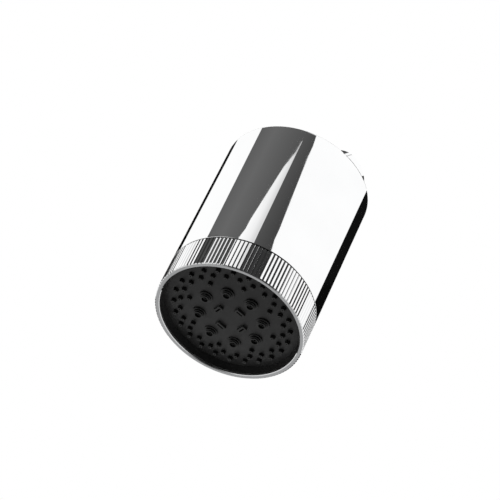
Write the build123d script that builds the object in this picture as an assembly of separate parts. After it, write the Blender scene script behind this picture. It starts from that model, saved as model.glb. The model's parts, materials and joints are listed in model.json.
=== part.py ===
from build123d import *
from math import asin, cos, degrees, radians, sin, sqrt, tan
import os

# Overhead shower head: a chrome barrel on a swivel ball, with a turning ring and a spray face below.
# Lengths are in millimetres and angles in degrees. The head hangs upright with its face down.
# The origin is the centre of the inlet nut's mouth, and the nut leans towards +X.

# Barrel
body_radius = 35.45  # at the seam
head_length = 95.8  # from the lip to the top of the barrel
body_draft = 0.3  # how much smaller the radius is at the top
shell_wall = 2.05
top_wall = 2.0
top_edge_radius = 0.8
foot_chamfer = 0.12  # lower edge of the barrel
seam_gap = 0.5  # between the ring and the barrel

# Turning ring
ring_height = 17.3
ring_wall = 1.6
ring_edge = 0.12  # chamfer at the seam
lip_height = 1.5
lip_width = 2.15
lip_edge = 0.4  # chamfer inside the lip
flute_count = 120
flute_width = 0.93  # V-grooves over the ring's full height
flute_depth = 0.465
flute_turn = 2.13  # angle of the first groove
lip_land = 0.05  # the lip's outer chamfer is this much deeper than the flutes

# Spray face, with its recess wall and slotted blocks
face_depth = 5.2  # recess from the lip to the face's edge
recess_taper = 1.0
dome_rise = 2.8
face_wall = 1.8
cup_wall = 1.8
cup_step = 2.5  # the face's wall ends this far below the spray plate's top

# Nozzle circles, each measured inwards from the one before it
rain_margin = 4.6  # from the face's edge to the outer circle of small nozzles
rain_outer_count = 24
rain_middle_step = 3.1
rain_middle_count = 24
rain_inner_step = 3.9
rain_inner_count = 8
jet_step = 5.5
jet_count = 8
slot_step = 8.0
slot_count = 4

# Small rubber nozzles
nub_radius = 1.25
nub_tip_radius = 0.85
nub_height = 1.7
nub_bore = 0.3
mat_thickness = 1.2

# Stepped jet nozzles
jet_bore = 1.9
jet_orifice = 0.6
jet_web = 0.8  # thickness of the wall that holds the orifice
jet_mouth_radius = 1.95
jet_mouth_bore = 1.5
jet_mouth_rise = 0.6  # how far the mouth stands out from the tube
jet_mouth_depth = 1.2
jet_tube_radius = 2.5
jet_collar_radius = 3.2
jet_collar_height = 0.7
jet_height = 1.5
jet_flange = 0.35  # how far the hidden flange stands out from the collar
jet_flange_thickness = 1.2

# Slotted blocks on the face
block_width = 2.5
block_length = 4.6
block_height = 1.3
slot_width = 0.8
slot_length = 3.2

# Spray plate, with three chambers over the nozzles
floor_thickness = 1.5
chamber_depth = 5.2
plate_wall = 1.6
partition = 1.2
jet_chamber_reach = 3.0  # from the jet circle out to the chamber's wall
journal_reach = 3.9  # from the jet circle in to the wall that carries the rotor
feed_radius = 0.6

# Channel plate and valve disc
channel_thickness = 1.4
valve_thickness = 4.0
pocket_depth = 2.4
port_radius = 2.4
mode_step = 40.0
mode_count = 3
port_angle = 90.0

# Screws that hold the turning stack together
plate_screw_count = 6
plate_screw_radius = 1.1
plate_screw_head = 2.0
plate_screw_head_height = 1.5
plate_screw_inset = 2.9
plate_screw_grip = 4.0  # thread length in the spray plate
plate_boss_wall = 0.8

# Pivot of the turning stack
post_radius = 5.0
hub_wall = 2.9
hub_height = 11.2
pivot_screw_radius = 1.6
pivot_screw_length = 9.0
pivot_head_radius = 3.2
pivot_head_height = 2.0
pivot_washer_thickness = 1.2
hub_seal_radius = 0.88
hub_seal_rise = 5.6

# Stop lug on the valve disc, in an arc slot of the housing
stop_angle = 270.0
stop_arc = 4.0
stop_margin = 3.0
stop_width = 1.6
stop_inset = 0.2

# Massage rotor
blade_count = 10
blade_thickness = 0.9
rotor_hub_wall = 1.2
shutter_thickness = 1.5
shutter_arc = 180.0
rotor_height = 4.8
rotor_gap = 0.4

# Water housing, lower and upper half
cup_floor = 3.5
housing_wall = 1.8
housing_inset = 5.4  # from the barrel's inside to the housing's wall
housing_flange = 3.0
flange_inset = 0.4
roof_height = 15.0
neck_foot_drop = 8.0
neck_wall = 2.6
housing_screw_count = 6
housing_screw_radius = 1.45
housing_screw_head = 2.2
housing_screw_head_height = 2.0
housing_screw_grip = 4.0
screw_boss_radius = 2.8
screw_boss_bite = 0.5  # how far a boss runs into the housing's wall
housing_seal_radius = 0.9

# Sprung port
port_seal_wall = 1.3
port_seal_bore = 2.2
port_seal_length = 4.2
port_spring_length = 4.0
port_spring_wire = 0.35
port_spring_turns = 3.0
port_boss_wall = 1.8
port_lid = 1.5

# Swivel ball and its socket
ball_radius = 12.0
ball_drop = 6.0  # ball centre below the top of the barrel
ball_hole = 4.0
lean = 33.5  # connector axis from the head's axis, at rest
max_lean = 35.0
flare_margin = 1.2
collar_wall = 3.0
collar_flange = 1.4
collar_land = 2.85
collar_skirt = 2.0  # how far the collar reaches below the ball's centre
notch_count = 4
notch_width = 3.0
notch_depth = 1.2
seat_wall = 2.9
seat_drop = 2.4
seat_base = 1.8
seat_margin = 2.0
seat_ledge = 1.5
ball_seal_radius = 1.1
ball_seal_angle = 66.0  # from straight down

# Tail and inlet nut, along the connector's axis
thread_radius = 9.316
thread_length = 10.0
thread_relief = 0.3
nut_sides = 6
nut_wall = 2.684
nut_collar_wall = 3.684
nut_collar_height = 5.2
nut_edge = 0.6
nut_foot_step = 1.5
shoulder = 5.5
neck_radius = 6.0
water_bore = 3.5
spigot_wall = 1.3
spigot_length = 7.0
tail_flange_thickness = 2.2
washer_thickness = 2.0
washer_bore = 5.6
screen_thickness = 0.5
screen_hole = 0.5
screen_pitch = 1.6
screen_rings = 3
screen_step_count = 6  # holes that each ring has more than the one inside it

# Flow regulator in the tail
regulator_wall = 0.8
regulator_height = 4.0
regulator_rim = 0.7
regulator_floor = 1.2
regulator_post = 2.0
regulator_hole = 0.6
regulator_hole_count = 8
regulator_ring_radius = 0.95

# Clearances
fit_gap = 0.05  # between pieces that are fixed together
running_gap = 0.06  # round what turns
turn_gap = 0.4  # between faces that turn past each other
contact_gap = 0.05  # where a seal presses on a turning face
lean_gap = 0.5  # nut above the collar at the largest lean

# Radii worked out from the barrel inwards
shell_bore = body_radius - shell_wall
shell_low = ring_height + seam_gap
ring_bore = body_radius - ring_wall
lip_bore = body_radius - lip_width
cup_radius = ring_bore - fit_gap
cup_bore = cup_radius - cup_wall
face_radius = lip_bore - recess_taper
plate_radius = cup_bore - fit_gap
mat_radius = plate_radius - fit_gap

# Nozzle circles
rain_outer = face_radius - rain_margin
rain_middle = rain_outer - rain_middle_step
rain_inner = rain_middle - rain_inner_step
jet_circle = rain_inner - jet_step
slot_circle = jet_circle - slot_step
jet_chamber_radius = jet_circle + jet_chamber_reach
journal_radius = jet_circle - journal_reach
slot_chamber_radius = journal_radius - partition
rain_chamber_inner = jet_chamber_radius + partition
rain_chamber_outer = plate_radius - plate_wall

# The face is part of a ball, and each layer above it follows the same centre
dome_radius = (face_radius**2 + dome_rise**2) / (2 * dome_rise)
dome_centre = face_depth - dome_rise + dome_radius
mat_offset = face_wall + fit_gap
plate_offset = mat_offset + mat_thickness + fit_gap
floor_offset = plate_offset + floor_thickness


def dome_height(radius, offset=0.0):
    """Height of the domed layer that lies offset above the face, at a radius from the axis."""
    return dome_centre - sqrt((dome_radius - offset) ** 2 - radius**2)


# Heights above the lip, from the face upwards
jet_flange_radius = jet_collar_radius + jet_flange
jet_flange_low = dome_height(jet_circle + jet_flange_radius, plate_offset)
jet_flange_top = jet_flange_low + jet_flange_thickness
rotor_floor = jet_flange_top + floor_thickness
plate_top = dome_height(plate_radius, floor_offset) + chamber_depth
cup_top = plate_top - cup_step
valve_low = plate_top + channel_thickness
valve_top = valve_low + valve_thickness
floor_low = valve_top + turn_gap
floor_top = floor_low + cup_floor
hub_top = floor_low + hub_height
post_top = hub_top + turn_gap
plate_screw_circle = plate_radius - plate_screw_inset
port_circle = (jet_chamber_radius + journal_radius) / 2
port_pocket_radius = port_seal_bore + port_seal_wall + fit_gap
port_pocket_top = floor_low + port_seal_length + port_spring_length

# Ball socket, measured from the ball's centre
ball_height = head_length - ball_drop
socket_radius = ball_radius + running_gap
flare_slope = tan(radians(max_lean + degrees(asin(neck_radius / socket_radius)) + flare_margin))
collar_top = ball_drop + collar_flange
collar_radius = max(ball_drop * flare_slope, socket_radius) + collar_wall
collar_flange_radius = collar_top * flare_slope + collar_land
seat_radius = ball_radius + seat_wall
seat_bore = ball_radius * sin(radians(max_lean + degrees(asin(ball_hole / ball_radius)) + seat_margin))
seat_low = -ball_radius - seat_base
passage_radius = seat_bore - seat_ledge

# Housing, from the neck downwards
neck_outer = collar_radius + fit_gap + neck_wall
neck_top = head_length - top_wall
neck_foot = ball_height + seat_low - neck_foot_drop
cap_flange_top = neck_foot - roof_height
joint_plane = cap_flange_top - housing_flange
housing_radius = shell_bore - housing_inset
housing_bore = housing_radius - housing_wall
flange_radius = shell_bore - flange_inset
housing_screw_circle = housing_radius + screw_boss_radius - screw_boss_bite
housing_seal_circle = housing_bore + 2 * housing_seal_radius

# Connector, measured along its axis from the ball's centre
ball_flat = sqrt(ball_radius**2 - neck_radius**2)
spigot_radius = water_bore + spigot_wall
spigot_low = ball_flat - spigot_length
hex_radius = thread_radius + nut_wall
nut_collar_radius = thread_radius + nut_collar_wall
nut_foot_radius = hex_radius - nut_foot_step
lean_cos = cos(radians(max_lean))
lean_sin = sin(radians(max_lean))
nut_low = (collar_top + lean_gap + nut_foot_radius * lean_sin) / lean_cos
tail_flange_low = nut_low + shoulder + contact_gap
tail_flange_top = tail_flange_low + tail_flange_thickness
washer_low = tail_flange_top + contact_gap
thread_low = washer_low + washer_thickness
reach = thread_low + thread_length
relief_radius = thread_radius + thread_relief
regulator_radius = neck_radius - regulator_wall

# Places of the head and of the connector in the part's frame
ball_x = -reach * sin(radians(lean))
ball_z = -reach * cos(radians(lean))
head_place = Pos(ball_x, 0, ball_z - ball_height)
connector_place = Pos(ball_x, 0, ball_z) * Rot(0, lean, 0)


def turned(points):
    """Solid turned about the Z axis from (radius, height) points."""
    return revolve(Plane.XZ * Polygon(*points, align=None), axis=Axis.Z)


def turned_edges(*edges):
    """Solid turned about the Z axis from a closed run of lines and arcs."""
    return revolve(Plane.XZ * make_face(edges), axis=Axis.Z)


def disc(radius, low, high):
    """Upright cylinder between two heights."""
    return Pos(0, 0, low) * Cylinder(radius, high - low, align=(Align.CENTER, Align.CENTER, Align.MIN))


def band(outer, inner, low, high):
    """Upright ring between two radii and two heights."""
    return turned([(inner, low), (outer, low), (outer, high), (inner, high)])


def arc_band(outer, inner, low, high, start, arc):
    """Part of an upright ring, over an arc from a start angle."""
    profile = Plane.XZ * Polygon((inner, low), (outer, low), (outer, high), (inner, high), align=None)
    return Rot(0, 0, start) * revolve(profile, axis=Axis.Z, revolution_arc=arc)


def ring_seal(circle, section, height):
    """Round sealing ring."""
    return Pos(0, 0, height) * Torus(circle, section)


def polar(radius, angle):
    """Place at a radius and an angle about the Z axis, turned to face outwards."""
    return Rot(0, 0, angle) * Pos(radius, 0, 0)


def circle_places(radius, count, start=0.0):
    """Evenly spaced places on a circle."""
    return [polar(radius, start + 360.0 * k / count) for k in range(count)]


def dome_arc(start, end, offset):
    """Arc of a domed layer between two radii."""
    middle = (start + end) / 2
    ends = [(r, dome_height(r, offset)) for r in (start, middle, end)]
    return ThreePointArc(*ends)


def rain_circles():
    """Radius and places of each circle of small nozzles."""
    outer_half = 180.0 / rain_outer_count
    inner_half = 180.0 / rain_inner_count
    return [
        (rain_outer, circle_places(rain_outer, rain_outer_count, outer_half)),
        (rain_middle, circle_places(rain_middle, rain_middle_count)),
        (rain_inner, circle_places(rain_inner, rain_inner_count, inner_half)),
    ]


def rain_holes(radius):
    """Upright rods through every small nozzle's place."""
    rod = disc(radius, 0, plate_top)
    return [place * rod for _, places in rain_circles() for place in places]


def jet_holes(radius, low, high):
    """Upright rods through every jet's place."""
    return [place * disc(radius, low, high) for place in circle_places(jet_circle, jet_count)]


def slot_holes():
    """Upright blades through every slotted block."""
    blade = Pos(0, 0, plate_top / 2) * Box(slot_width, slot_length, plate_top)
    return [place * blade for place in circle_places(slot_circle, slot_count)]


# Fixed head


def body_shell():
    shell = turned(
        [
            (shell_bore, shell_low),
            (body_radius - foot_chamfer, shell_low),
            (body_radius, shell_low + foot_chamfer),
            (body_radius - body_draft, head_length),
            (collar_radius + fit_gap, head_length),
            (collar_radius + fit_gap, neck_top),
            (shell_bore, neck_top),
        ]
    )
    top_edge = shell.edges().group_by(Axis.Z)[-1].sort_by(SortBy.RADIUS)[-1]
    return fillet(top_edge, top_edge_radius)


def ball_collar():
    low = ball_height - collar_skirt
    top = ball_height + collar_top
    collar = disc(collar_radius, low, head_length) + disc(collar_flange_radius, head_length, top)
    collar -= Pos(0, 0, ball_height) * Sphere(socket_radius)
    collar -= disc(socket_radius, low, ball_height)
    collar -= turned([(0, ball_height), (collar_top * flare_slope, top), (0, top)])
    notch = Box(2 * notch_depth, notch_width, 2 * collar_flange)
    for place in circle_places(collar_flange_radius, notch_count, 180.0 / notch_count):
        collar -= Pos(0, 0, top) * place * notch
    return collar


def seal_place():
    """Circle and height of the seal under the ball."""
    distance = socket_radius + ball_seal_radius
    drop = distance * cos(radians(ball_seal_angle))
    return distance * sin(radians(ball_seal_angle)), ball_height - drop


def ball_seat():
    circle, height = seal_place()
    seat = band(seat_radius, seat_bore, ball_height + seat_low, ball_height - seat_drop)
    seat -= Pos(0, 0, ball_height) * Sphere(socket_radius)
    return seat - ring_seal(circle, ball_seal_radius + fit_gap, height)


def ball_seal():
    circle, height = seal_place()
    return ring_seal(circle, ball_seal_radius, height)


def housing_screw_places():
    return circle_places(housing_screw_circle, housing_screw_count)


def housing_cap():
    seat_floor = ball_height + seat_low
    seat_step = ball_height - (seat_drop + collar_skirt) / 2
    cap = turned(
        [
            (housing_bore, joint_plane),
            (flange_radius, joint_plane),
            (flange_radius, cap_flange_top),
            (housing_radius, cap_flange_top),
            (neck_outer, neck_foot),
            (neck_outer, neck_top),
            (collar_radius + fit_gap, neck_top),
            (collar_radius + fit_gap, seat_step),
            (seat_radius + fit_gap, seat_step),
            (seat_radius + fit_gap, seat_floor),
            (passage_radius, seat_floor),
            (passage_radius, neck_foot - housing_wall),
            (housing_bore, cap_flange_top - housing_wall),
        ]
    )
    groove_half = housing_seal_radius + fit_gap
    groove_top = joint_plane + 2 * housing_seal_radius
    cap -= band(
        housing_seal_circle + groove_half, housing_seal_circle - groove_half, joint_plane, groove_top
    )
    hole = disc(housing_screw_radius + fit_gap, joint_plane, cap_flange_top)
    return cap - [place * hole for place in housing_screw_places()]


def housing_seal():
    return ring_seal(housing_seal_circle, housing_seal_radius, joint_plane + housing_seal_radius)


def housing_screws():
    grip_low = joint_plane - housing_flange - housing_screw_grip
    screw = disc(housing_screw_radius, grip_low, cap_flange_top)
    screw += disc(housing_screw_head, cap_flange_top, cap_flange_top + housing_screw_head_height)
    return Compound(children=[place * screw for place in housing_screw_places()])


def port_place():
    return polar(port_circle, port_angle)


def housing_cup():
    flange_low = joint_plane - housing_flange
    boss_low = flange_low - housing_screw_grip - fit_gap
    cup = disc(shell_bore - fit_gap, floor_low, floor_top)
    cup += band(housing_radius, housing_bore, floor_low, joint_plane)
    cup += band(flange_radius, housing_bore, flange_low, joint_plane)
    for place in housing_screw_places():
        cup += place * disc(screw_boss_radius, boss_low - housing_wall, flange_low)
    screw_hole = disc(housing_screw_radius + fit_gap, boss_low, joint_plane)
    cup -= [place * screw_hole for place in housing_screw_places()]
    cup += disc(post_radius + hub_wall, floor_low, hub_top)
    cup -= disc(post_radius + running_gap, floor_low, hub_top)
    cup += port_place() * disc(port_pocket_radius + port_boss_wall, floor_low, port_pocket_top + port_lid)
    cup -= port_place() * disc(port_pocket_radius, floor_low, port_pocket_top)
    cup -= port_place() * disc(port_seal_bore, floor_low, port_pocket_top + port_lid)
    slot_outer = plate_radius - stop_inset + turn_gap
    slot_inner = slot_outer - stop_width - 2 * turn_gap
    slot_start = stop_angle - stop_arc / 2 - stop_margin
    slot_arc = mode_step * (mode_count - 1) + stop_arc + 2 * stop_margin
    return cup - arc_band(slot_outer, slot_inner, floor_low, floor_top, slot_start, slot_arc)


def port_seal():
    radius = port_seal_bore + port_seal_wall
    return port_place() * band(radius, port_seal_bore, valve_top + contact_gap, floor_low + port_seal_length)


def port_spring():
    coil_radius = port_seal_bore + port_seal_wall / 2
    rise = port_spring_length - 2 * port_spring_wire - 2 * fit_gap
    low = floor_low + port_seal_length + port_spring_wire + fit_gap
    path = Helix(pitch=rise / port_spring_turns, height=rise, radius=coil_radius)
    section = Plane(origin=path @ 0, z_dir=path % 0) * Circle(port_spring_wire)
    coil = sweep(section, path=path, is_frenet=True)
    return port_place() * Pos(0, 0, low) * coil


# Turning stack


def selector_ring():
    outer_edge = flute_depth + lip_land
    ring = turned(
        [
            (lip_bore + lip_edge, 0),
            (body_radius - outer_edge, 0),
            (body_radius, outer_edge),
            (body_radius, ring_height - ring_edge),
            (body_radius - ring_edge, ring_height),
            (ring_bore, ring_height),
            (ring_bore, lip_height),
            (lip_bore, lip_height),
            (lip_bore, lip_edge),
        ]
    )
    groove = Polygon(
        (-flute_depth, 0), (flute_depth, -flute_width), (flute_depth, flute_width), align=None
    )
    flute = extrude(groove, ring_height)
    return ring - [place * flute for place in circle_places(body_radius, flute_count, flute_turn)]


def face_plate():
    edge_height = dome_height(cup_bore, face_wall)
    plate = turned_edges(
        dome_arc(0, face_radius, 0.0),
        Line((face_radius, face_depth), (lip_bore, lip_height + fit_gap)),
        Line((lip_bore, lip_height + fit_gap), (cup_radius, lip_height + fit_gap)),
        Line((cup_radius, lip_height + fit_gap), (cup_radius, cup_top)),
        Line((cup_radius, cup_top), (cup_bore, cup_top)),
        Line((cup_bore, cup_top), (cup_bore, edge_height)),
        dome_arc(cup_bore, 0, face_wall),
        Line((0, dome_height(0, face_wall)), (0, dome_height(0))),
    )
    block_low = dome_height(slot_circle) - block_height
    block_top = dome_height(slot_circle) + face_wall / 2
    block = Pos(0, 0, (block_low + block_top) / 2) * Box(block_width, block_length, block_top - block_low)
    for place in circle_places(slot_circle, slot_count):
        plate += place * block
    plate -= rain_holes(nub_radius + fit_gap)
    plate -= jet_holes(jet_collar_radius + fit_gap, 0, plate_top)
    return plate - slot_holes()


def nozzle_mat():
    top_offset = mat_offset + mat_thickness
    rim_low = dome_height(mat_radius, mat_offset)
    rim_top = dome_height(mat_radius, top_offset)
    mat = turned_edges(
        dome_arc(0, mat_radius, mat_offset),
        Line((mat_radius, rim_low), (mat_radius, rim_top)),
        dome_arc(mat_radius, 0, top_offset),
        Line((0, dome_height(0, top_offset)), (0, dome_height(0, mat_offset))),
    )
    for circle, places in rain_circles():
        surface = dome_height(circle)
        tip = surface - nub_height
        root = dome_height(circle, mat_offset + mat_thickness / 2)
        nub = turned(
            [(0, tip), (nub_tip_radius, tip), (nub_radius, surface), (nub_radius, root), (0, root)]
        )
        mat += [place * nub for place in places]
    mat -= rain_holes(nub_bore)
    mat -= jet_holes(jet_collar_radius + fit_gap, 0, plate_top)
    return mat - slot_holes()


def jet_nozzle(place):
    surface = dome_height(jet_circle)
    tip = surface - jet_height
    mouth = tip - jet_mouth_rise
    step = surface - jet_collar_height
    web_low = mouth + jet_mouth_depth
    web_top = web_low + jet_web
    return place * turned(
        [
            (jet_mouth_bore, mouth),
            (jet_mouth_radius, mouth),
            (jet_mouth_radius, tip),
            (jet_tube_radius, tip),
            (jet_tube_radius, step),
            (jet_collar_radius, step),
            (jet_collar_radius, jet_flange_low),
            (jet_flange_radius, jet_flange_low),
            (jet_flange_radius, jet_flange_top),
            (jet_bore, jet_flange_top),
            (jet_bore, web_top),
            (jet_orifice, web_top),
            (jet_orifice, web_low),
            (jet_mouth_bore, web_low),
        ]
    )


def plate_screw_places():
    return circle_places(plate_screw_circle, plate_screw_count)


def plate_screw_holes(low, high):
    return [place * disc(plate_screw_radius + fit_gap, low, high) for place in plate_screw_places()]


def spray_plate():
    plate = turned_edges(
        dome_arc(0, plate_radius, plate_offset),
        Line((plate_radius, dome_height(plate_radius, plate_offset)), (plate_radius, plate_top)),
        Line((plate_radius, plate_top), (0, plate_top)),
        Line((0, plate_top), (0, dome_height(0, plate_offset))),
    )
    rain_low = dome_height(rain_chamber_inner, floor_offset)
    rain_edge = dome_height(rain_chamber_outer, floor_offset)
    rain_chamber = turned_edges(
        dome_arc(rain_chamber_inner, rain_chamber_outer, floor_offset),
        Line((rain_chamber_outer, rain_edge), (rain_chamber_outer, plate_top)),
        Line((rain_chamber_outer, plate_top), (rain_chamber_inner, plate_top)),
        Line((rain_chamber_inner, plate_top), (rain_chamber_inner, rain_low)),
    )
    boss = disc(plate_screw_radius + plate_boss_wall, rain_low, plate_top)
    for place in plate_screw_places():
        rain_chamber -= place * boss
    plate -= rain_chamber
    plate -= band(jet_chamber_radius, journal_radius, rotor_floor, plate_top)
    plate -= disc(slot_chamber_radius, dome_height(slot_chamber_radius, floor_offset), plate_top)
    plate -= rain_holes(feed_radius)
    plate -= jet_holes(jet_bore, 0, plate_top)
    plate -= jet_holes(jet_flange_radius + fit_gap, 0, jet_flange_top + fit_gap)
    plate -= slot_holes()
    return plate - plate_screw_holes(plate_top - plate_screw_grip - fit_gap, plate_top)


def mode_inlets():
    """Angle of each setting's port, and the radius where its channel drops into a chamber."""
    radii = [(rain_chamber_inner + rain_chamber_outer) / 2, port_circle, slot_chamber_radius / 2]
    return [(port_angle - mode_step * k, radius) for k, radius in enumerate(radii)]


def channel_plate():
    plate = disc(plate_radius, plate_top, valve_low)
    for angle, radius in mode_inlets():
        plate -= polar(radius, angle) * disc(port_radius, plate_top, valve_low)
    return plate - plate_screw_holes(plate_top, valve_low)


def valve_disc():
    valve = disc(plate_radius, valve_low, valve_top) + disc(post_radius, valve_top, post_top)
    for angle, radius in mode_inlets():
        valve -= polar(port_circle, angle) * disc(port_radius, valve_low, valve_top)
        valve -= polar(radius, angle) * disc(port_radius, valve_low, valve_low + pocket_depth)
        middle = (radius + port_circle) / 2
        span = abs(radius - port_circle)
        if span > 0:
            channel = Box(span, 2 * port_radius, pocket_depth)
            valve -= polar(middle, angle) * Pos(0, 0, valve_low + pocket_depth / 2) * channel
    stop_outer = plate_radius - stop_inset
    stop_inner = stop_outer - stop_width
    stop_start = stop_angle - stop_arc / 2
    stop_low = valve_top - fit_gap
    valve += arc_band(stop_outer, stop_inner, stop_low, floor_top - turn_gap, stop_start, stop_arc)
    head_low = valve_top - plate_screw_head_height - fit_gap
    for place in plate_screw_places():
        valve -= place * disc(plate_screw_head + fit_gap, head_low, valve_top)
    valve -= plate_screw_holes(valve_low, valve_top)
    groove_half = hub_seal_radius + fit_gap
    groove_height = floor_low + hub_seal_rise
    groove_floor = post_radius - 2 * hub_seal_radius
    valve -= band(
        post_radius + fit_gap, groove_floor, groove_height - groove_half, groove_height + groove_half
    )
    return valve - disc(pivot_screw_radius + fit_gap, post_top - pivot_screw_length - fit_gap, post_top)


def plate_screws():
    head_low = valve_top - plate_screw_head_height - fit_gap
    screw = disc(plate_screw_radius, plate_top - plate_screw_grip, head_low)
    screw += disc(plate_screw_head, head_low, valve_top - fit_gap)
    return Compound(children=[place * screw for place in plate_screw_places()])


def hub_seal():
    return ring_seal(post_radius - hub_seal_radius, hub_seal_radius, floor_low + hub_seal_rise)


def pivot_washer():
    outer = post_radius + hub_wall
    return band(outer, pivot_screw_radius + fit_gap, post_top, post_top + pivot_washer_thickness)


def pivot_screw():
    head_low = post_top + pivot_washer_thickness
    screw = disc(pivot_screw_radius, post_top - pivot_screw_length, head_low)
    return screw + disc(pivot_head_radius, head_low, head_low + pivot_head_height)


def massage_turbine():
    low = rotor_floor + rotor_gap
    bore = journal_radius + running_gap
    outer = jet_chamber_radius - rotor_gap
    top = low + rotor_height
    rotor = band(bore + rotor_hub_wall, bore, low, top)
    shutter_top = low + shutter_thickness
    rotor += arc_band(outer, bore, low, shutter_top, 0, shutter_arc)
    blade_inner = bore + rotor_hub_wall / 2
    blade = Box(outer - blade_inner, blade_thickness, top - shutter_top)
    blade_height = (shutter_top + top) / 2
    for place in circle_places((outer + blade_inner) / 2, blade_count):
        rotor += Pos(0, 0, blade_height) * place * blade
    return rotor


# Connector, in its own frame along the connector's axis


def swivel_ball():
    ball = Sphere(ball_radius) - disc(ball_radius, ball_flat, ball_radius + neck_radius)
    ball -= disc(spigot_radius + fit_gap, spigot_low - fit_gap, ball_radius)
    return ball - disc(ball_hole, -ball_radius, spigot_low)


def ball_tail():
    flange_radius_tail = thread_radius - fit_gap
    pocket_low = tail_flange_top - regulator_height - fit_gap
    return turned(
        [
            (water_bore, spigot_low),
            (spigot_radius, spigot_low),
            (spigot_radius, ball_flat),
            (neck_radius, ball_flat),
            (neck_radius, tail_flange_low),
            (flange_radius_tail, tail_flange_low),
            (flange_radius_tail, tail_flange_top),
            (regulator_radius, tail_flange_top),
            (regulator_radius, pocket_low),
            (water_bore, pocket_low),
        ]
    )


def flow_regulator():
    low = tail_flange_top - regulator_height
    outer = regulator_radius - fit_gap
    regulator = disc(outer, low, low + regulator_floor)
    regulator += band(outer, outer - regulator_rim, low, tail_flange_top)
    regulator += disc(regulator_post, low, tail_flange_top)
    circle = (outer - regulator_rim + regulator_post) / 2
    hole = disc(regulator_hole, low, low + regulator_floor)
    return regulator - [place * hole for place in circle_places(circle, regulator_hole_count)]


def regulator_ring():
    circle = (regulator_radius - fit_gap - regulator_rim + regulator_post) / 2
    height = tail_flange_top - regulator_height + regulator_floor + regulator_ring_radius
    return ring_seal(circle, regulator_ring_radius, height)


def union_nut():
    hex_top = reach - nut_collar_height
    corner_radius = hex_radius / cos(radians(180.0 / nut_sides))
    foot_rise = corner_radius - nut_foot_radius
    blank = turned(
        [
            (0, nut_low),
            (nut_foot_radius, nut_low),
            (corner_radius, nut_low + foot_rise),
            (corner_radius, hex_top - nut_edge),
            (corner_radius - nut_edge, hex_top),
            (0, hex_top),
        ]
    )
    hexagon = RegularPolygon(hex_radius, nut_sides, major_radius=False)
    nut = blank & extrude(Pos(0, 0, nut_low) * hexagon, hex_top - nut_low)
    nut += turned(
        [
            (0, hex_top),
            (nut_collar_radius, hex_top),
            (nut_collar_radius, reach - nut_edge),
            (nut_collar_radius - nut_edge, reach),
            (0, reach),
        ]
    )
    nut -= disc(neck_radius + running_gap, nut_low, reach)
    nut -= disc(relief_radius, nut_low + shoulder, thread_low)
    return nut - disc(thread_radius, thread_low, reach)


def inlet_washer():
    return band(thread_radius - fit_gap, washer_bore, washer_low, thread_low)


def filter_screen():
    low = (washer_low + thread_low - screen_thickness) / 2
    high = low + screen_thickness
    screen = disc(washer_bore - fit_gap, low, high)
    hole = disc(screen_hole, low, high)
    screen -= hole
    for ring in range(1, screen_rings + 1):
        screen -= [place * hole for place in circle_places(ring * screen_pitch, ring * screen_step_count)]
    return screen


head_parts = {
    "body_shell": body_shell(),
    "ball_collar": ball_collar(),
    "ball_seat": ball_seat(),
    "ball_seal": ball_seal(),
    "housing_cap": housing_cap(),
    "housing_cup": housing_cup(),
    "housing_seal": housing_seal(),
    "housing_screws": housing_screws(),
    "port_seal": port_seal(),
    "port_spring": port_spring(),
    "selector_ring": selector_ring(),
    "face_plate": face_plate(),
    "nozzle_mat": nozzle_mat(),
    "spray_plate": spray_plate(),
    "channel_plate": channel_plate(),
    "valve_disc": valve_disc(),
    "plate_screws": plate_screws(),
    "hub_seal": hub_seal(),
    "pivot_washer": pivot_washer(),
    "pivot_screw": pivot_screw(),
    "massage_turbine": massage_turbine(),
}
for number, jet_place in enumerate(circle_places(jet_circle, jet_count), start=1):
    head_parts[f"jet_nozzle_{number}"] = jet_nozzle(jet_place)

connector_parts = {
    "swivel_ball": swivel_ball(),
    "ball_tail": ball_tail(),
    "flow_regulator": flow_regulator(),
    "regulator_ring": regulator_ring(),
    "union_nut": union_nut(),
    "inlet_washer": inlet_washer(),
    "filter_screen": filter_screen(),
}

os.makedirs("parts", exist_ok=True)
for name, solid in head_parts.items():
    export_step(head_place * solid, f"parts/{name}.step")
for name, solid in connector_parts.items():
    export_step(connector_place * solid, f"parts/{name}.step")
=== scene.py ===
import json
import math

import bpy
import numpy as np
from mathutils import Matrix, Vector

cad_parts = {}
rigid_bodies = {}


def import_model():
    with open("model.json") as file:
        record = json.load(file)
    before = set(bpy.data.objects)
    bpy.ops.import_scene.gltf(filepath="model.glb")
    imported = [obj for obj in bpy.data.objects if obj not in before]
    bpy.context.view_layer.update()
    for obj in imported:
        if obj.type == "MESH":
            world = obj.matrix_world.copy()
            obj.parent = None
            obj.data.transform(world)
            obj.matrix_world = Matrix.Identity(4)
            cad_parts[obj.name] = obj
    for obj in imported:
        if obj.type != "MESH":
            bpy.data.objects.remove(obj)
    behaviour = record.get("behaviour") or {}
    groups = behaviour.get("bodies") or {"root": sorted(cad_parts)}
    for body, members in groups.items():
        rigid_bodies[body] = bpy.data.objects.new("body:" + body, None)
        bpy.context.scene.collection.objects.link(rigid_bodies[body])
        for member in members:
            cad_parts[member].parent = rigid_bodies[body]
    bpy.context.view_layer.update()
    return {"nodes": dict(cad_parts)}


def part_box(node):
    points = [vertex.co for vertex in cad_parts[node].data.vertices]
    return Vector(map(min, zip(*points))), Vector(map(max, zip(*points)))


for startObject in list(bpy.data.objects):
    bpy.data.objects.remove(startObject)

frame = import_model()
nodes = frame["nodes"]
ringLow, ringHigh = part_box("selector_ring")
headX = (ringLow.x + ringHigh.x) / 2  # the barrel's axis
ringRadius = (ringHigh.x - ringLow.x) / 2
lipZ = ringLow.z
print("frame loaded,", len(nodes), "nodes")


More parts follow.
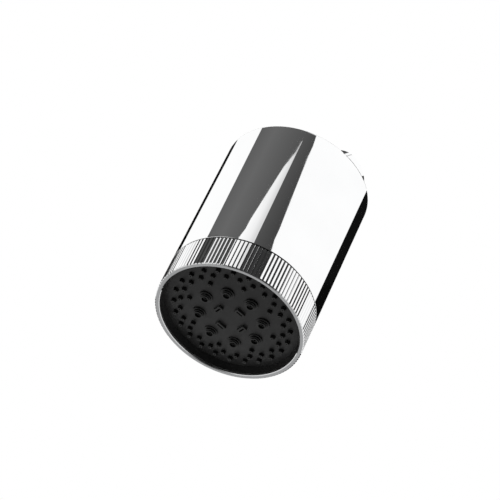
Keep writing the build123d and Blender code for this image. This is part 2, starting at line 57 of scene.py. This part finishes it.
def addNode(tree, kind, inputs=None, **settings):
    node = tree.nodes.new(kind)
    for key, value in settings.items():
        setattr(node, key, value)
    for key, value in (inputs or {}).items():
        if isinstance(value, bpy.types.NodeSocket):
            tree.links.new(value, node.inputs[key])
        else:
            node.inputs[key].default_value = value
    return node


def mathNode(tree, operation, first, second=0.0):
    return addNode(tree, "ShaderNodeMath", {0: first, 1: second}, operation=operation).outputs[0]


def blendValue(tree, share, low, high):
    return addNode(tree, "ShaderNodeMix", {0: share, 2: low, 3: high}, data_type="FLOAT").outputs[0]


def blendTint(tree, share, low, high):
    mixer = addNode(tree, "ShaderNodeMix", {0: share}, data_type="RGBA")
    for index, tint in ((6, low), (7, high)):
        if isinstance(tint, bpy.types.NodeSocket):
            tree.links.new(tint, mixer.inputs[index])
        else:
            mixer.inputs[index].default_value = (*tint, 1.0)
    return mixer.outputs[2]


# straight from start at low to end at high, and level beyond them
def spread(tree, value, low, high, start=0.0, end=1.0):
    reach = {"Value": value, "From Min": low, "From Max": high, "To Min": start, "To Max": end}
    return addNode(tree, "ShaderNodeMapRange", reach).outputs[0]


def mapped(tree, coordinates, **mapping):
    place = addNode(tree, "ShaderNodeTexCoord").outputs[coordinates]
    return addNode(tree, "ShaderNodeMapping", {"Vector": place, **mapping}).outputs[0]


def axesOf(tree, vector):
    return addNode(tree, "ShaderNodeSeparateXYZ", {0: vector}).outputs


# 0 to 1 patches from a noise over the piece's own place, with a soft limit on both sides
def patches(tree, scale, detail=3.0, shift=0.0, stretch=(1.0, 1.0, 1.0), low=0.35, high=0.65):
    place = mapped(tree, "Object", Location=(shift,) * 3, Scale=stretch)
    noise = addNode(tree, "ShaderNodeTexNoise", {"Vector": place, "Scale": scale, "Detail": detail})
    return spread(tree, noise.outputs[0], low, high)


def newFinish(name):
    finish = bpy.data.materials.new(name)
    finish.use_nodes = True
    return finish, finish.node_tree, finish.node_tree.nodes["Principled BSDF"]


def wear(nodeNames, finish):
    for nodeName in nodeNames:
        for holder in nodes[nodeName].material_slots:
            holder.material = finish


# Polished plating: a bright mirror whose film of handling dulls it a little in patches
barrelLook = {
    "bright": (0.985, 0.988, 0.99),
    "filmed": (0.965, 0.968, 0.972),
    "clearRough": 0.012,
    "filmedRough": 0.035,
    "filmSize": 45.0,  # patches per metre
    "wipeSize": 900.0,  # wiping marks per metre, drawn out along the barrel
    "wipeStretch": (1.0, 1.0, 0.12),
}


def polishedPlating(name, look):
    finish, tree, shader = newFinish(name)
    film = patches(tree, look["filmSize"])
    wipes = patches(tree, look["wipeSize"], detail=5.0, shift=3.0, stretch=look["wipeStretch"])
    dull = mathNode(tree, "MULTIPLY", film, wipes)
    rough = blendValue(tree, dull, look["clearRough"], look["filmedRough"])
    tree.links.new(blendTint(tree, film, look["bright"], look["filmed"]), shader.inputs["Base Color"])
    tree.links.new(rough, shader.inputs["Roughness"])
    shader.inputs["Metallic"].default_value = 1.0
    return finish, tree, shader


barrelChrome = polishedPlating("barrelChrome", barrelLook)[0]
wear(["body_shell"], barrelChrome)

connectorLook = {
    **barrelLook,
    "clearRough": 0.03,
    "filmedRough": 0.08,
    "filmSize": 90.0,
    "wipeSize": 1800.0,
}
connectorChrome = polishedPlating("connectorChrome", connectorLook)[0]
wear(["union_nut", "ball_collar", "swivel_ball"], connectorChrome)


# The turning ring is the same plating, with a satin lip at its foot and grooves darkened by painted shade
ringLook = {
    **barrelLook,
    "satin": (0.42, 0.425, 0.43),
    "satinRough": 0.3,
    "satinHeight": 0.00012,  # how far above the lip plane the satin ends
    # the grooves' tint is painted shade, darker than the plating where the grooves lie in shade
    "groove": (0.85, 0.855, 0.86),
    "grooveStart": 0.00004,  # how far under the outer radius a groove begins
}


def ringPlating(name, look):
    finish, tree, shader = polishedPlating(name, look)
    x, y, z = axesOf(tree, mapped(tree, "Object", Location=(-headX, 0.0, 0.0)))
    squares = [mathNode(tree, "MULTIPLY", axis, axis) for axis in (x, y)]
    radius = mathNode(tree, "SQRT", mathNode(tree, "ADD", *squares))
    # inside the grooves the plating tint is darkened as painted shade
    shadedGroove = mathNode(tree, "LESS_THAN", radius, ringRadius - look["grooveStart"])
    onLip = mathNode(tree, "LESS_THAN", z, lipZ + look["satinHeight"])
    for socketName, blend, share, other in (
        ("Base Color", blendTint, shadedGroove, look["groove"]),
        ("Base Color", blendTint, onLip, look["satin"]),
        ("Roughness", blendValue, onLip, look["satinRough"]),
    ):
        plated = shader.inputs[socketName].links[0].from_socket
        tree.links.new(blend(tree, share, plated, other), shader.inputs[socketName])
    return finish


ringChrome = ringPlating("ringChrome", ringLook)
wear(["selector_ring"], ringChrome)
print("plating done")


# Moulded plastics and rubbers: two close tints, patchy gloss and a fine moulded grain.
# On the nozzles the sides are tinted near black as painted shade, and the flats keep the moulded tint.
mouldedLooks = {
    "faceBlack": {
        "light": (0.024, 0.024, 0.024), "dark": (0.019, 0.019, 0.019), "rough": (0.36, 0.46),
        "specular": 0.2, "grain": 5200.0, "grainDepth": 0.03,
    },
    # on both nozzle looks the near black sides tint is painted shade on the side walls
    "nozzleRubber": {
        "light": (0.024, 0.024, 0.024), "dark": (0.019, 0.019, 0.019), "rough": (0.4, 0.5),
        "specular": 0.25, "grain": 6500.0, "grainDepth": 0.05, "paintedShadeSides": (0.005, 0.005, 0.005),
    },
    "jetRubber": {
        "light": (0.024, 0.024, 0.024), "dark": (0.019, 0.019, 0.019), "rough": (0.36, 0.46),
        "specular": 0.25, "grain": 6000.0, "grainDepth": 0.03, "paintedShadeSides": (0.005, 0.005, 0.005),
    },
    "housingPlastic": {
        "light": (0.62, 0.62, 0.6), "dark": (0.54, 0.54, 0.52), "rough": (0.42, 0.56),
        "specular": 0.5, "grain": 3800.0, "grainDepth": 0.08,
    },
    "platePlastic": {
        "light": (0.5, 0.51, 0.52), "dark": (0.43, 0.44, 0.45), "rough": (0.38, 0.5),
        "specular": 0.5, "grain": 4200.0, "grainDepth": 0.07,
    },
    "rotorPlastic": {
        "light": (0.7, 0.68, 0.6), "dark": (0.6, 0.58, 0.5), "rough": (0.35, 0.5),
        "specular": 0.5, "grain": 4600.0, "grainDepth": 0.06,
    },
    "sealRubber": {
        "light": (0.03, 0.03, 0.03), "dark": (0.015, 0.015, 0.015), "rough": (0.55, 0.7),
        "specular": 0.4, "grain": 5600.0, "grainDepth": 0.1,
    },
}
mouldedNodes = {
    "faceBlack": ["face_plate"],
    "nozzleRubber": ["nozzle_mat"],
    "jetRubber": [f"jet_nozzle_{count}" for count in range(1, 9)],
    "housingPlastic": ["housing_cap", "housing_cup", "ball_seat"],
    "platePlastic": ["spray_plate", "channel_plate", "valve_disc"],
    "rotorPlastic": ["massage_turbine", "flow_regulator", "pivot_washer"],
    "sealRubber": ["inlet_washer", "regulator_ring", "ball_seal", "housing_seal", "port_seal", "hub_seal"],
}
mouldedPattern = {
    "toneSize": 120.0,  # patches of tint and of gloss per metre
    "glossSize": 260.0,
    "grainRise": 0.00005,
    # this tilt decides which faces get the painted shade of the sides tint
    "shadedSideTilt": (0.3, 0.7),  # upright share of the normal below which a face is a side, above which a flat
}


def mouldedFinish(name, look, pattern):
    finish, tree, shader = newFinish(name)
    tone = patches(tree, pattern["toneSize"], detail=4.0)
    gloss = patches(tree, pattern["glossSize"], shift=5.0)
    grain = patches(tree, look["grain"], detail=2.0, shift=9.0, low=0.2, high=0.8)
    relief = {"Strength": look["grainDepth"], "Distance": pattern["grainRise"], "Height": grain}
    tint = blendTint(tree, tone, look["light"], look["dark"])
    # sides tilted away from upright get a near black tint as painted shade
    if "paintedShadeSides" in look:
        facing = addNode(tree, "ShaderNodeTexCoord").outputs["Normal"]
        upright = mathNode(tree, "ABSOLUTE", axesOf(tree, facing)[2])
        tint = blendTint(tree, spread(tree, upright, *pattern["shadedSideTilt"]), look["paintedShadeSides"], tint)
    tree.links.new(tint, shader.inputs["Base Color"])
    tree.links.new(blendValue(tree, gloss, *look["rough"]), shader.inputs["Roughness"])
    tree.links.new(addNode(tree, "ShaderNodeBump", relief).outputs[0], shader.inputs["Normal"])
    shader.inputs["Specular IOR Level"].default_value = look["specular"]
    return finish


for mouldedName, mouldedLook in mouldedLooks.items():
    wear(mouldedNodes[mouldedName], mouldedFinish(mouldedName, mouldedLook, mouldedPattern))
print("plastics and rubbers done")


# Plain turned metals: fine lines round the axis of turning and a little tarnish
turnedLooks = {
    "tailBrass": {"bright": (0.78, 0.6, 0.3), "dull": (0.62, 0.45, 0.2), "rough": (0.22, 0.38)},
    "fastenerSteel": {"bright": (0.72, 0.72, 0.71), "dull": (0.56, 0.56, 0.55), "rough": (0.25, 0.4)},
}
turnedNodes = {
    "tailBrass": ["ball_tail"],
    "fastenerSteel": ["filter_screen", "housing_screws", "port_spring", "plate_screws", "pivot_screw"],
}
turnedPattern = {
    "tarnishSize": 160.0,  # patches and lines per metre
    "lineSize": 900.0,
    "lineStretch": (0.15, 0.15, 6.0),
}


def turnedFinish(name, look, pattern):
    finish, tree, shader = newFinish(name)
    tarnish = patches(tree, pattern["tarnishSize"], detail=4.0)
    lines = patches(tree, pattern["lineSize"], detail=2.0, shift=2.0, stretch=pattern["lineStretch"])
    tree.links.new(blendTint(tree, tarnish, look["bright"], look["dull"]), shader.inputs["Base Color"])
    tree.links.new(blendValue(tree, lines, *look["rough"]), shader.inputs["Roughness"])
    shader.inputs["Metallic"].default_value = 1.0
    return finish


for turnedName, turnedLook in turnedLooks.items():
    wear(turnedNodes[turnedName], turnedFinish(turnedName, turnedLook, turnedPattern))
print("turned metals done")


# Camera below and in front, where the photograph was taken from
cameraLook = {
    "lens": 221.49,
    "sensor": 36.0,
    "azimuth": -111.0,  # round the barrel's axis from +X
    "below": 42.19,  # angle under the horizon
    "roll": 26.33,
    "distance": 1.3787,  # from the lip's centre
    "lipAt": (228.765, 322.254),  # where the lip's centre falls in the picture
    "picture": 500.0,  # the picture's sides
    "clip": (0.05, 50.0),
}


def placeCamera(look):
    turn, drop, roll = (math.radians(look[key]) for key in ("azimuth", "below", "roll"))
    outward = Vector((math.cos(turn), math.sin(turn), 0.0))
    sideways = Vector((-math.sin(turn), math.cos(turn), 0.0))
    upward = Vector((0.0, 0.0, 1.0))
    back = outward * math.cos(drop) - upward * math.sin(drop)
    level = outward * math.sin(drop) + upward * math.cos(drop)
    right = sideways * math.cos(roll) + level * math.sin(roll)
    above = level * math.cos(roll) - sideways * math.sin(roll)
    perPixel = look["distance"] * look["sensor"] / look["lens"] / look["picture"]
    across, down = ((pixel - look["picture"] / 2) * perPixel for pixel in look["lipAt"])
    spot = Vector((headX, 0.0, lipZ)) + back * look["distance"] - right * across + above * down
    camera = bpy.data.objects.new("photoCamera", bpy.data.cameras.new("photoCamera"))
    camera.data.lens = look["lens"]
    camera.data.sensor_width = look["sensor"]
    camera.data.clip_start, camera.data.clip_end = look["clip"]
    camera.matrix_world = Matrix.Translation(spot) @ Matrix((right, above, back)).transposed().to_4x4()
    bpy.context.scene.collection.objects.link(camera)
    bpy.context.scene.camera = camera


placeCamera(cameraLook)
print("camera placed")


# White studio. Matt surfaces get an even light; mirrors see white walls with dark flags in them.
# A flag's left and right edges are (azimuth, lean per degree of height), its low and high edges
# (height, lean per degree of azimuth), all in degrees round the camera's azimuth at leanHeight.
studioLook = {
    "white": 1.0,
    "matt": 0.95,
    "soft": 0.2,  # half width of a flag's side edges, in degrees
    "softHeight": 0.02,  # and of its upper and lower edges
    "leanHeight": 44.0,
    "flags": {
        "greyFlag": {"left": (-95.4, -1.39), "right": (-20.0, 0.0), "low": (45.9, 0.055), "high": (78.0, 0.0)},
        "greySlope": {"left": (-95.4, -1.39), "right": (-20.0, 0.0), "low": (47.8, 0.1195), "high": (78.0, 0.0)},
        "slimFlag": {"left": (-20.2, -1.28), "right": (1.45, -6.3), "low": (42.42, 0.0), "high": (70.0, 0.0)},
        "greyFoot": {"left": (-93.3, 0.0), "right": (-42.5, 0.0), "low": (36.0, 0.0), "high": (42.42, 0.0)},
        "slimFoot": {"left": (-20.0, 0.0), "right": (9.6, 0.0), "low": (36.0, 0.0), "high": (42.42, 0.0)},
        "rightFlag": {"left": (122.7, 0.8), "right": (181.0, 0.0), "low": (-40.0, 0.0), "high": (80.0, 0.0)},
        "leftFlag": {"left": (-181.0, 0.0), "right": (-150.0, 0.0), "low": (-40.0, 0.0), "high": (80.0, 0.0)},
        "topFlag": {"left": (-170.0, 0.0), "right": (-85.0, 0.0), "low": (66.0, 0.0), "high": (86.0, 0.0)},
    },
    # how bright the walls and a flag are at an azimuth
    "wallLevels": [(-40, 1.0), (-28, 0.88), (-21, 0.7), (-10, 1.0)],
    "flagLevels": [(-150, 0.005), (-95, 0.112), (-70, 0.135), (-40, 0.103), (-16, 0.079), (0, 0.06), (14, 0.05),
                   (115, 0.005)],
    "dimHeight": (42.3, 42.5),  # below these heights the flags are darker by this share
    "dimShare": 0.58,
    # the dark room behind the camera, with edges as a flag's
    "room": {"left": (-85.0, 0.0), "right": (85.0, 0.0), "low": (-91.0, 0.0), "high": (25.0, 0.0)},
    "roomLevel": 0.03,
}


def lightStudio(look, azimuth):
    world = bpy.data.worlds.new("whiteStudio")
    world.use_nodes = True
    tree = world.node_tree
    x, y, z = axesOf(tree, mapped(tree, "Generated", Rotation=(0.0, 0.0, -math.radians(azimuth))))
    around = mathNode(tree, "DEGREES", mathNode(tree, "ARCTAN2", y, x))
    height = mathNode(tree, "DEGREES", mathNode(tree, "ARCSINE", z))
    risen = mathNode(tree, "SUBTRACT", height, look["leanHeight"])

    # 1 on the side of a leaning edge where value is above it, 0 on the other
    def past(value, other, edge, soft):
        line = mathNode(tree, "ADD", mathNode(tree, "MULTIPLY", other, edge[1]), edge[0])
        return spread(tree, mathNode(tree, "SUBTRACT", value, line), -soft, soft)

    # 1 inside a flag's four edges
    def within(flag):
        paintedShadeSides = [past(around, risen, flag[edge], look["soft"]) for edge in ("left", "right")]
        ends = [past(height, around, flag[edge], look["softHeight"]) for edge in ("low", "high")]
        return mathNode(tree, "MULTIPLY", *(mathNode(tree, "SUBTRACT", *pair) for pair in (paintedShadeSides, ends)))

    # brightness by azimuth, straight between the given places
    def levelRound(levels):
        turnShare = mathNode(tree, "ADD", mathNode(tree, "DIVIDE", around, 360.0), 0.5)
        ramp = addNode(tree, "ShaderNodeValToRGB", {0: turnShare})
        stops = ramp.color_ramp.elements
        stopAt = [stopAzimuth / 360 + 0.5 for stopAzimuth, _ in levels]
        stops[0].position, stops[1].position = stopAt[0], stopAt[-1]
        for position in stopAt[1:-1]:
            stops.new(position)
        for stop, (_, brightness) in zip(stops, levels):
            stop.color = (brightness, brightness, brightness, 1.0)
        return ramp.outputs[0]

    dimmed = spread(tree, height, *look["dimHeight"], look["dimShare"], 1.0)
    dark = mathNode(tree, "MULTIPLY", levelRound(look["flagLevels"]), dimmed)
    seen = levelRound(look["wallLevels"])
    for flag in look["flags"].values():
        seen = blendValue(tree, within(flag), seen, dark)
    path = addNode(tree, "ShaderNodeLightPath").outputs
    mirrored = mathNode(tree, "MAXIMUM", path["Is Glossy Ray"], path["Is Transmission Ray"])
    level = blendValue(tree, mirrored, look["matt"], seen)
    level = blendValue(tree, within(look["room"]), level, look["roomLevel"])
    level = blendValue(tree, path["Is Camera Ray"], level, look["white"])
    backdrop = tree.nodes["Background"]
    backdrop.inputs["Color"].default_value = (1.0, 1.0, 1.0, 1.0)
    tree.links.new(level, backdrop.inputs["Strength"])
    bpy.context.scene.world = world


# Pale floor, with a black cloth on it under the camera that the camera itself doesn't see
floorLook = {
    "drop": 1.6,  # below the lip
    "halfSize": 30.0,
    "tint": (0.9, 0.9, 0.9),
    "shade": (0.87, 0.87, 0.87),
    "patchSize": 1.5,
    "rough": 0.8,
    "clothTint": (0.03, 0.03, 0.03),
    "clothStart": (1.05, 1.3),  # from the origin towards the camera
}


def layFloor(look, azimuth):
    corners = np.array([(-1, -1), (1, -1), (1, 1), (-1, 1)], float) * look["halfSize"]
    spots = np.column_stack([corners, np.full(4, lipZ - look["drop"])])
    mesh = bpy.data.meshes.new("floor")
    mesh.from_pydata(spots.tolist(), [], [(0, 1, 2, 3)])
    floor = bpy.data.objects.new("floor", mesh)
    bpy.context.scene.collection.objects.link(floor)
    finish, tree, shader = newFinish("paleFloor")
    pale = blendTint(tree, patches(tree, look["patchSize"]), look["tint"], look["shade"])
    forward = axesOf(tree, mapped(tree, "Object", Rotation=(0.0, 0.0, -math.radians(azimuth))))[0]
    hidden = mathNode(tree, "SUBTRACT", 1.0, addNode(tree, "ShaderNodeLightPath").outputs["Is Camera Ray"])
    onCloth = mathNode(tree, "MULTIPLY", spread(tree, forward, *look["clothStart"]), hidden)
    tree.links.new(blendTint(tree, onCloth, pale, look["clothTint"]), shader.inputs["Base Color"])
    shader.inputs["Roughness"].default_value = look["rough"]
    mesh.materials.append(finish)


lightStudio(studioLook, cameraLook["azimuth"])
layFloor(floorLook, cameraLook["azimuth"])
bpy.context.scene.view_settings.view_transform = "Standard"
print("studio lit")
